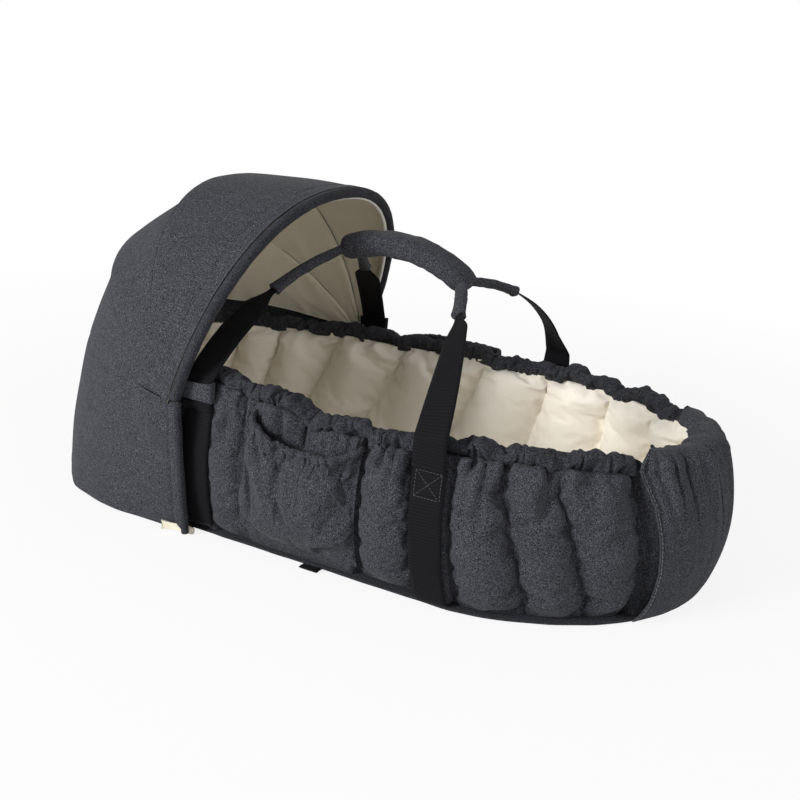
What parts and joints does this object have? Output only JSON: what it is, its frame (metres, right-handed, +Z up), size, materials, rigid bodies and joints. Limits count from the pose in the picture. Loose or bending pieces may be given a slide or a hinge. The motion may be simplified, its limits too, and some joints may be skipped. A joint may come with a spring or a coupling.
{
  "type": "baby nest",
  "caption": "Soft oval carrying nest with quilted padded walls, elastic gathered rim, side pockets, fold-back hood and two webbing carry handles joined by a padded grip.",
  "frame": {"origin": "on the floor under the middle of the nest's length, halfway across", "axes": "+X to the foot end, -Y to the near side in the picture, +Z up"},
  "size_m": [0.8016, 0.423, 0.3729],
  "materials": {
    "wool_look_fabric": "dark grey melange woven",
    "cream_cotton": "plain woven cotton",
    "black_webbing": "ribbed polyester webbing",
    "elastic": "woven elastic",
    "insert_board": "stiff insert board",
    "foam_pad": "foam pad in a cotton cover",
    "plastic_stay": "moulded nylon"
  },
  "bodies": {
    "nest": {"base_board": "insert_board", "base_cover": "wool_look_fabric", "base_tab": "black_webbing", "far_front_webbing": "black_webbing", "far_hood_pivot": "plastic_stay", "far_pocket": "wool_look_fabric", "far_pocket_elastic": "elastic", "far_rear_webbing": "black_webbing", "far_skirt_tie": "elastic", "far_strap_loop": "wool_look_fabric", "foot_cover": "wool_look_fabric", "hood_rear_bow": "plastic_stay", "hood_rear_lining": "cream_cotton", "hood_rear_panel": "wool_look_fabric", "hood_skirt": "wool_look_fabric", "liner_far": "cream_cotton", "liner_foot": "cream_cotton", "liner_head": "cream_cotton", "liner_near": "cream_cotton", "mattress": "foam_pad", "near_front_webbing": "black_webbing", "near_hood_pivot": "plastic_stay", "near_pocket": "wool_look_fabric", "near_pocket_elastic": "elastic", "near_rear_webbing": "black_webbing", "near_skirt_tie": "elastic", "near_strap_loop": "wool_look_fabric", "outer_wall_far": "wool_look_fabric", "outer_wall_foot": "wool_look_fabric", "outer_wall_head": "wool_look_fabric", "outer_wall_near": "wool_look_fabric", "rim_casing": "wool_look_fabric", "rim_elastic": "elastic"},
    "hood_mid": {"hood_mid_bow": "plastic_stay", "hood_mid_lining": "cream_cotton", "hood_mid_panel": "wool_look_fabric"},
    "hood_front": {"hood_front_bow": "plastic_stay", "hood_front_hem": "wool_look_fabric", "hood_front_lining": "cream_cotton", "hood_front_panel": "wool_look_fabric"},
    "near_handle": {"grip_sleeve": "wool_look_fabric", "near_front_strap": "black_webbing", "near_front_strap_sleeve": "wool_look_fabric", "near_grip_webbing": "black_webbing", "near_rear_strap": "black_webbing", "near_rear_strap_sleeve": "wool_look_fabric"},
    "far_handle": {"far_front_strap": "black_webbing", "far_front_strap_sleeve": "wool_look_fabric", "far_grip_webbing": "black_webbing", "far_rear_strap": "black_webbing", "far_rear_strap_sleeve": "wool_look_fabric"}
  },
  "joints": [
    {"name": "hood_fold", "type": "hinge", "parent": "nest", "child": "hood_front", "pos_m": [-0.125, 0, 0.145], "axis": [0, -1, 0], "range_deg": [0, 62]},
    {"name": "hood_mid_fold", "type": "hinge", "parent": "nest", "child": "hood_mid", "pos_m": [-0.125, 0, 0.145], "axis": [0, -1, 0], "range_deg": [0, 31]},
    {"name": "near_handle_swing", "type": "hinge", "parent": "nest", "child": "near_handle", "pos_m": [0, -0.187, 0.1425], "axis": [1, 0, 0], "range_deg": [0, 150], "deforming": ["near_front_strap", "near_rear_strap", "near_front_strap_sleeve", "near_rear_strap_sleeve", "grip_sleeve"]},
    {"name": "far_handle_swing", "type": "hinge", "parent": "nest", "child": "far_handle", "pos_m": [0, 0.187, 0.1425], "axis": [-1, 0, 0], "range_deg": [0, 150], "deforming": ["far_front_strap", "far_rear_strap", "far_front_strap_sleeve", "far_rear_strap_sleeve"]}
  ],
  "couplings": [
    {"joint": "hood_mid_fold", "follows": "hood_fold", "ratio": 0.5}
  ]
}
